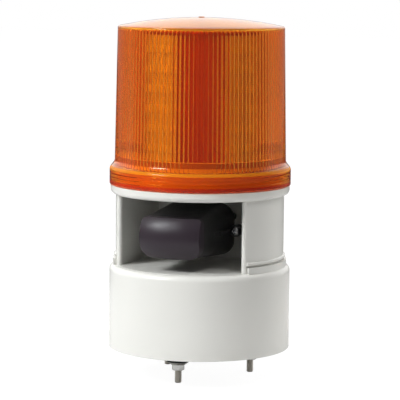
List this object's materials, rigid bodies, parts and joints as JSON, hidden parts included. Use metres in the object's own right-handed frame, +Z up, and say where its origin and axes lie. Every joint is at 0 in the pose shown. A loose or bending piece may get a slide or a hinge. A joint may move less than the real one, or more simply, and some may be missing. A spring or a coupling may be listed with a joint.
{
  "type": "beacon sounder",
  "caption": "Amber LED beacon with a screw-on ribbed lens over a horn in an open-fronted bay, on a round drum base with threaded mounting studs.",
  "frame": {"origin": "centre of the drum's bottom rim, on the upright axis", "axes": "+Z up along the axis towards the lens, -Y out of the open front of the horn bay, +X to the right seen from the front"},
  "size_m": [0.126, 0.126, 0.2495],
  "materials": {
    "housing_white": "satin moulded",
    "lens_amber": "clear amber, ribbed inside",
    "horn_dark": "satin",
    "horn_black": "fine texture",
    "black_plastic": "moulded",
    "rubber_black": "matte",
    "stud_steel": "rolled thread",
    "plated_steel": "bright plated",
    "core_metal": "dark anodised",
    "led_board": "white solder mask",
    "led_lens": "clear dome",
    "circuit_green": "solder mask",
    "magnet_grey": "sintered",
    "coil_copper": "enamelled wire",
    "diaphragm_film": "pressed film",
    "terminal_green": "moulded",
    "trimmer_blue": "moulded",
    "lead_grey": "sheathed"
  },
  "bodies": {
    "root": {"base_shell": "housing_white", "bottom_plate": "housing_white", "horn_housing": "housing_white", "lens_seat": "housing_white", "plate_gasket": "rubber_black", "cable_grommet": "rubber_black", "stud_bushes": "rubber_black", "driver_gasket": "rubber_black", "mounting_studs": "stud_steel", "stud_nuts": "plated_steel", "stud_washers": "plated_steel", "plate_screws": "plated_steel", "housing_screws": "plated_steel", "seat_screws": "plated_steel", "lamp_deck_screws": "plated_steel", "driver_board_screws": "plated_steel", "horn_screws": "plated_steel", "cover_screws": "plated_steel", "board_screws": "plated_steel", "terminal_screws": "plated_steel", "standoffs": "plated_steel", "core_rod": "plated_steel", "core_nut": "plated_steel", "lamp_deck": "housing_white", "core_cap": "core_metal", "led_core": "core_metal", "led_board_1": "led_board", "led_board_2": "led_board", "led_board_3": "led_board", "led_board_4": "led_board", "leds": "led_lens", "driver_board": "circuit_green", "driver_parts": "black_plastic", "horn_cap": "horn_dark", "horn_body": "horn_black", "driver_cover": "horn_black", "surround_ring": "black_plastic", "plate_spacer": "black_plastic", "top_plate": "stud_steel", "pole_piece": "stud_steel", "magnet": "magnet_grey", "sounder_board": "circuit_green", "transformer": "magnet_grey", "capacitors": "black_plastic", "sound_chip": "black_plastic", "terminal_block": "terminal_green", "lead_sockets": "led_board", "volume_trimmer": "trimmer_blue", "lamp_harness": "lead_grey", "horn_harness": "lead_grey"},
    "seal": {"lens_seal": "rubber_black"},
    "lens": {"lens": "lens_amber"},
    "diaphragm": {"diaphragm": "diaphragm_film", "voice_coil": "coil_copper"},
    "volume_rotor": {"volume_rotor": "led_board"}
  },
  "joints": [
    {"name": "lens_rise", "type": "slide", "parent": "root", "child": "seal", "axis": [0, 0, 1], "range_m": [0, 0.0075]},
    {"name": "lens_turn", "type": "hinge", "parent": "seal", "child": "lens", "pos_m": [0, 0, 0.1134], "axis": [0, 0, 1], "range_deg": [0, 1080]},
    {"name": "diaphragm_stroke", "type": "slide", "parent": "root", "child": "diaphragm", "axis": [0, -1, 0], "range_m": [-0.0003, 0.0003], "stiffness_N_per_m": 800},
    {"name": "volume_turn", "type": "hinge", "parent": "root", "child": "volume_rotor", "pos_m": [0.022, 0.01, 0.0205], "axis": [0, 0, 1], "range_deg": [0, 270]}
  ],
  "couplings": [
    {"joint": "lens_rise", "follows": "lens_turn", "m_per_rad": 0.00039789}
  ]
}
